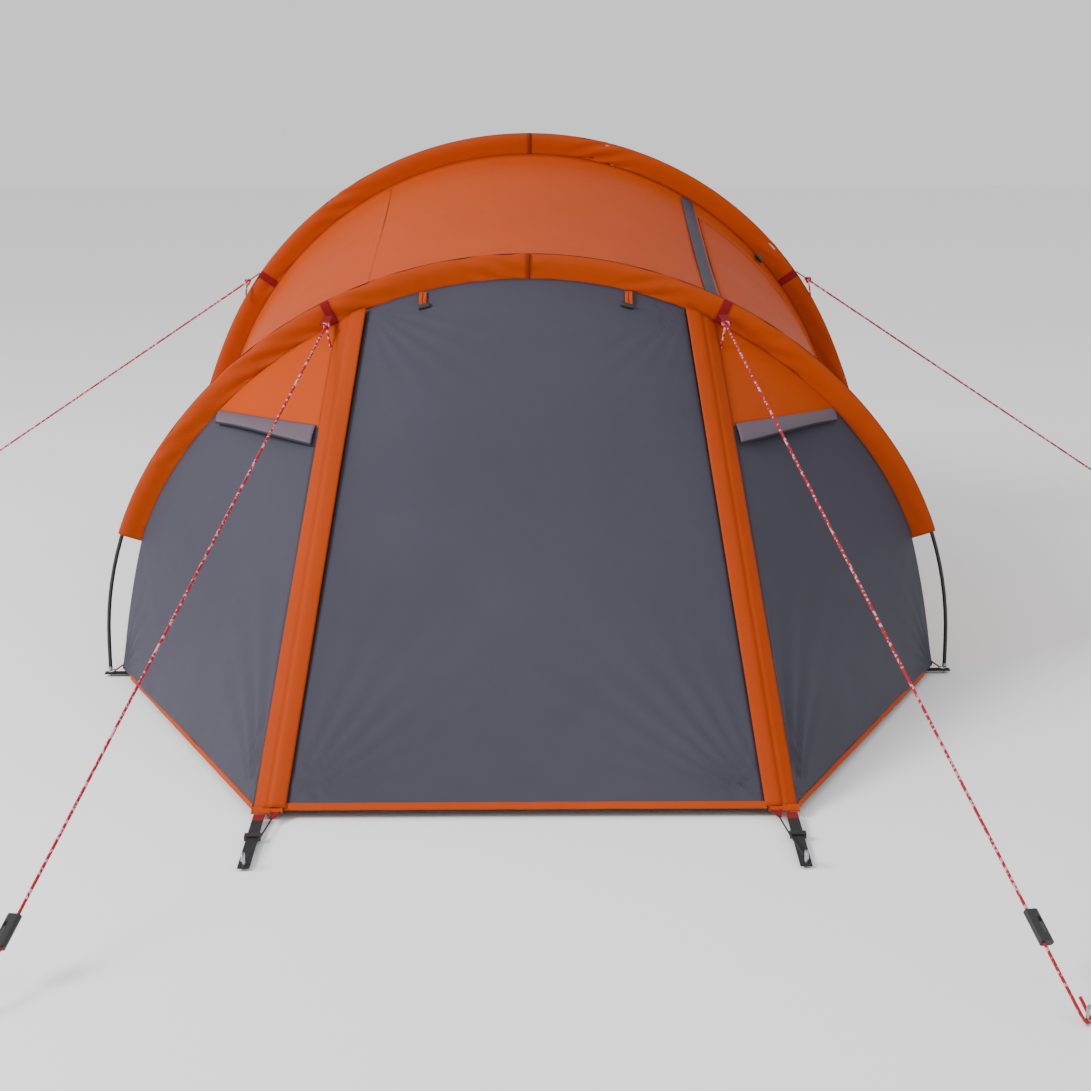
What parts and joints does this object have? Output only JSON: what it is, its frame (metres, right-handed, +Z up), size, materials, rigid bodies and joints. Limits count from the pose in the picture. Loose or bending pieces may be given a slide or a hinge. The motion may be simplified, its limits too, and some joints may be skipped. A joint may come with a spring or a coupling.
{
  "type": "tunnel tent",
  "caption": "Low tunnel tent with hooped poles in sewn sleeves, a zipped front door, hooded vents, an inner tent and guy lines.",
  "frame": {"origin": "centre of the footprint of the tent and its corner pegs, on the ground", "axes": "+X to the right seen from the front, +Y from the front door to the rear, +Z up"},
  "size_m": [3.875, 4.8047, 1.167],
  "materials": {
    "orange_fly": "coated polyester taffeta",
    "grey_fly": "coated polyester taffeta",
    "light_grey_fly": "coated polyester taffeta",
    "sleeve_fabric": "heavier polyester",
    "fibreglass": "smooth black",
    "steel": "zinc plated",
    "elastic": "braided",
    "zip_tape": "woven tape",
    "zip_metal": "black nickel",
    "red_webbing": "woven webbing",
    "black_webbing": "woven webbing",
    "black_plastic": "moulded",
    "guy_cord": "braided, light flecks",
    "inner_fabric": "breathable polyester",
    "floor_sheet": "laminated polyethylene"
  },
  "bodies": {
    "fly": {"fly_roof_front": "orange_fly", "fly_roof_rear": "orange_fly", "front_side_upper_left": "orange_fly", "front_side_upper_right": "orange_fly", "storm_flap_left": "orange_fly", "storm_flap_right": "orange_fly", "side_hem_bindings": "orange_fly", "fly_flank_front_left": "grey_fly", "fly_flank_front_right": "grey_fly", "fly_flanks_rear": "grey_fly", "door_head": "grey_fly", "front_side_lower_left": "grey_fly", "front_side_lower_right": "grey_fly", "rear_panel": "grey_fly", "rear_sides": "grey_fly", "side_door_strip": "grey_fly", "sleeve_front": "sleeve_fabric", "sleeve_middle": "sleeve_fabric", "sleeve_rear": "sleeve_fabric", "pole_front": "fibreglass", "pole_middle": "fibreglass", "pole_rear": "fibreglass", "pole_ferrules": "steel", "pole_tips": "steel", "corner_pegs": "steel", "guy_pegs": "steel", "shock_cords": "elastic", "inner_hangers": "elastic", "door_zip_tapes": "zip_tape", "guy_tabs": "red_webbing", "corner_loops": "red_webbing", "corner_straps": "black_webbing", "foot_straps": "black_webbing", "strap_adjusters": "black_plastic", "guy_line_front_left": "guy_cord", "guy_line_front_right": "guy_cord", "guy_line_main_left": "guy_cord", "guy_line_main_right": "guy_cord", "inner_canopy": "inner_fabric", "inner_front_wall": "inner_fabric", "inner_rear_wall": "inner_fabric", "inner_groundsheet": "floor_sheet"},
    "front_door": {"front_door": "grey_fly", "door_hem_binding": "orange_fly"},
    "side_door": {"side_door": "orange_fly"},
    "vent_left": {"vent_flap_left": "light_grey_fly"},
    "vent_right": {"vent_flap_right": "light_grey_fly"},
    "zip_slider_left": {"zip_slider_left": "zip_metal"},
    "zip_slider_right": {"zip_slider_right": "zip_metal"},
    "toggle_door_left": {"toggle_ribbon_door_left": "orange_fly", "toggle_door_left": "black_plastic"},
    "toggle_door_right": {"toggle_ribbon_door_right": "orange_fly", "toggle_door_right": "black_plastic"},
    "toggle_side_door": {"toggle_ribbon_side_door": "orange_fly", "toggle_side_door": "black_plastic"},
    "inner_door": {"inner_door": "inner_fabric"},
    "tensioner_front_left": {"tensioner_front_left": "black_plastic"},
    "tensioner_front_right": {"tensioner_front_right": "black_plastic"},
    "tensioner_main_left": {"tensioner_main_left": "black_plastic"},
    "tensioner_main_right": {"tensioner_main_right": "black_plastic"}
  },
  "joints": [
    {"name": "front_door_swing", "type": "hinge", "parent": "fly", "child": "front_door", "pos_m": [0, -1.0175, 0.783], "axis": [-1, 0, 0], "range_deg": [0, 95]},
    {"name": "side_door_swing", "type": "hinge", "parent": "fly", "child": "side_door", "pos_m": [0.445, -0.92, 0.75577], "axis": [0, -0.9795, -0.2015], "range_deg": [0, 80]},
    {"name": "vent_left_lift", "type": "hinge", "parent": "fly", "child": "vent_left", "pos_m": [-0.68437, -0.95305, 0.59588], "axis": [-0.773, 0.6344, -0.0068], "range_deg": [0, 40]},
    {"name": "zip_left_slide", "type": "slide", "parent": "fly", "child": "zip_slider_left", "axis": [0.0685, 0.7645, 0.6409], "range_m": [0, 1]},
    {"name": "toggle_door_left_lift", "type": "hinge", "parent": "fly", "child": "toggle_door_left", "pos_m": [-0.22112, -0.93101, 0.84478], "axis": [-0.9707, 0, -0.2404], "range_deg": [0, 80]},
    {"name": "vent_right_lift", "type": "hinge", "parent": "fly", "child": "vent_right", "pos_m": [0.68437, -0.95305, 0.59588], "axis": [-0.773, -0.6344, 0.0068], "range_deg": [0, 40]},
    {"name": "zip_right_slide", "type": "slide", "parent": "fly", "child": "zip_slider_right", "axis": [-0.0685, 0.7645, 0.6409], "range_m": [0, 1]},
    {"name": "toggle_door_right_lift", "type": "hinge", "parent": "fly", "child": "toggle_door_right", "pos_m": [0.22112, -0.93101, 0.84478], "axis": [-0.9707, 0, 0.2404], "range_deg": [0, 80]},
    {"name": "toggle_side_door_lift", "type": "hinge", "parent": "fly", "child": "toggle_side_door", "pos_m": [0.61541, 0.16671, 0.84619], "axis": [-0.6756, 0, 0.7373], "range_deg": [0, 80]},
    {"name": "inner_door_swing", "type": "hinge", "parent": "fly", "child": "inner_door", "pos_m": [-0.3285, -0.3575, 0.44], "axis": [0, 0, -1], "range_deg": [0, 85]},
    {"name": "tensioner_front_left_slide", "type": "slide", "parent": "fly", "child": "tensioner_front_left", "axis": [0.1785, 0.897, 0.4044], "range_m": [0, 0.6]},
    {"name": "tensioner_main_left_slide", "type": "slide", "parent": "fly", "child": "tensioner_main_left", "axis": [0.8347, 0, 0.5507], "range_m": [0, 0.5]},
    {"name": "tensioner_front_right_slide", "type": "slide", "parent": "fly", "child": "tensioner_front_right", "axis": [-0.1785, 0.897, 0.4044], "range_m": [0, 0.6]},
    {"name": "tensioner_main_right_slide", "type": "slide", "parent": "fly", "child": "tensioner_main_right", "axis": [-0.8347, 0, 0.5507], "range_m": [0, 0.5]}
  ]
}
